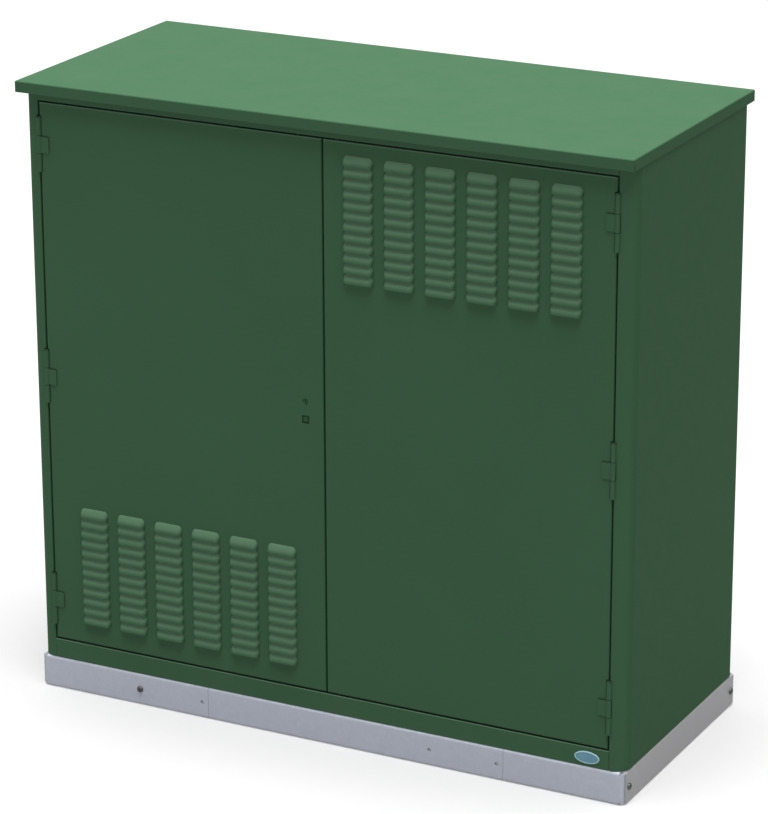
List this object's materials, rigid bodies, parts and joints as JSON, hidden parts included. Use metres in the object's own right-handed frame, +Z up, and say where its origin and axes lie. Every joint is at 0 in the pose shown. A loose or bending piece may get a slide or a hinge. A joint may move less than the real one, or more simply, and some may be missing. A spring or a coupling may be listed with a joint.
{
  "type": "roadside utility cabinet",
  "caption": "Free-standing green sheet-metal street cabinet with louvred double doors, a flat folded roof, a bare metal plinth, and a mounting board inside.",
  "frame": {"origin": "on the ground, under the middle of the whole cabinet", "axes": "+X to the right along the front, +Y from the doors to the back, +Z up"},
  "size_m": [1.26, 0.555, 1.228],
  "materials": {
    "painted_steel": "dark green polyester powder coat, satin with a faint orange-peel texture",
    "roof_paint": "the same green powder coat on the folded roof",
    "lock_paint": "the same green, a little darker, on the die-cast lock faces",
    "bare_metal": "bare bright zinc-coated sheet, dull grey",
    "zinc": "zinc plate on fasteners and lock parts",
    "badge": "blue enamel face with a plain silver rim, no lettering",
    "rubber": "black closed-cell rubber",
    "plywood": "sanded exterior plywood",
    "brass": "drawn brass bar and screws",
    "insulator": "dark red moulded insulator",
    "pocket_plastic": "grey moulded plastic",
    "nylon": "natural white nylon"
  },
  "bodies": {
    "cabinet": {"side_panel_left": "painted_steel", "side_panel_right": "painted_steel", "back_panel": "painted_steel", "header_rail": "painted_steel", "sill_rail": "painted_steel", "floor_plate": "painted_steel", "roof": "roof_paint", "roof_studs": "zinc", "roof_nuts": "zinc", "base_bolts": "zinc", "base_nuts": "zinc", "back_rivets": "painted_steel", "frame_hinges_left": "painted_steel", "frame_hinges_right": "painted_steel", "hinge_pins_left": "painted_steel", "hinge_pins_right": "painted_steel", "badge": "badge", "door_seal": "rubber", "mounting_rails": "bare_metal", "mounting_board": "plywood", "board_bolts": "zinc", "board_nuts": "zinc", "gland_plate": "bare_metal", "gland_grommets": "rubber", "gland_screws": "zinc", "earth_bar": "brass", "earth_posts": "insulator", "earth_screws": "brass", "plinth_front_left": "bare_metal", "plinth_front_middle": "bare_metal", "plinth_front_right": "bare_metal", "plinth_rear": "bare_metal", "plinth_side_left": "bare_metal", "plinth_side_right": "bare_metal", "plinth_splices": "bare_metal", "plinth_screws": "zinc"},
    "left_door": {"door_left": "painted_steel", "hinge_leaves_left": "painted_steel", "door_stiffener_left": "painted_steel", "document_pocket": "pocket_plastic", "lock_case": "zinc", "lock_barrel": "lock_paint", "rod_guides": "nylon"},
    "right_door": {"door_right": "painted_steel", "hinge_leaves_right": "painted_steel", "door_stiffener_right": "painted_steel", "bolt_brackets": "zinc"},
    "spindle": {"lock_spindle": "lock_paint"},
    "upper_rod": {"lock_rod_top": "zinc"},
    "lower_rod": {"lock_rod_bottom": "zinc"},
    "key": {"key_plug": "lock_paint", "lock_tongue": "zinc", "tongue_screw": "zinc"},
    "upper_bolt": {"shoot_bolt_top": "zinc"},
    "lower_bolt": {"shoot_bolt_bottom": "zinc"}
  },
  "joints": [
    {"name": "left_door_hinge", "type": "hinge", "parent": "cabinet", "child": "left_door", "pos_m": [-0.5915, -0.2575, 0.647], "axis": [0, 0, -1], "range_deg": [0, 120]},
    {"name": "right_door_hinge", "type": "hinge", "parent": "cabinet", "child": "right_door", "pos_m": [0.5915, -0.2575, 0.647], "axis": [0, 0, 1], "range_deg": [0, 120]},
    {"name": "spindle_turn", "type": "hinge", "parent": "left_door", "child": "spindle", "pos_m": [-0.029, -0.2575, 0.647], "axis": [0, 1, 0], "range_deg": [0, 90]},
    {"name": "upper_rod_slide", "type": "slide", "parent": "left_door", "child": "upper_rod", "axis": [0, 0, 1], "range_m": [0, 0.02828]},
    {"name": "lower_rod_slide", "type": "slide", "parent": "left_door", "child": "lower_rod", "axis": [0, 0, -1], "range_m": [0, 0.02828]},
    {"name": "key_turn", "type": "hinge", "parent": "left_door", "child": "key", "pos_m": [-0.029, -0.2575, 0.682], "axis": [0, 1, 0], "range_deg": [0, 90]},
    {"name": "upper_bolt_slide", "type": "slide", "parent": "right_door", "child": "upper_bolt", "axis": [0, 0, 1], "range_m": [0, 0.025]},
    {"name": "lower_bolt_slide", "type": "slide", "parent": "right_door", "child": "lower_bolt", "axis": [0, 0, -1], "range_m": [0, 0.025]}
  ],
  "couplings": [
    {"joint": "spindle_turn", "follows": "upper_rod_slide", "rad_per_m": 55.536},
    {"joint": "lower_rod_slide", "follows": "upper_rod_slide", "ratio": 1}
  ]
}
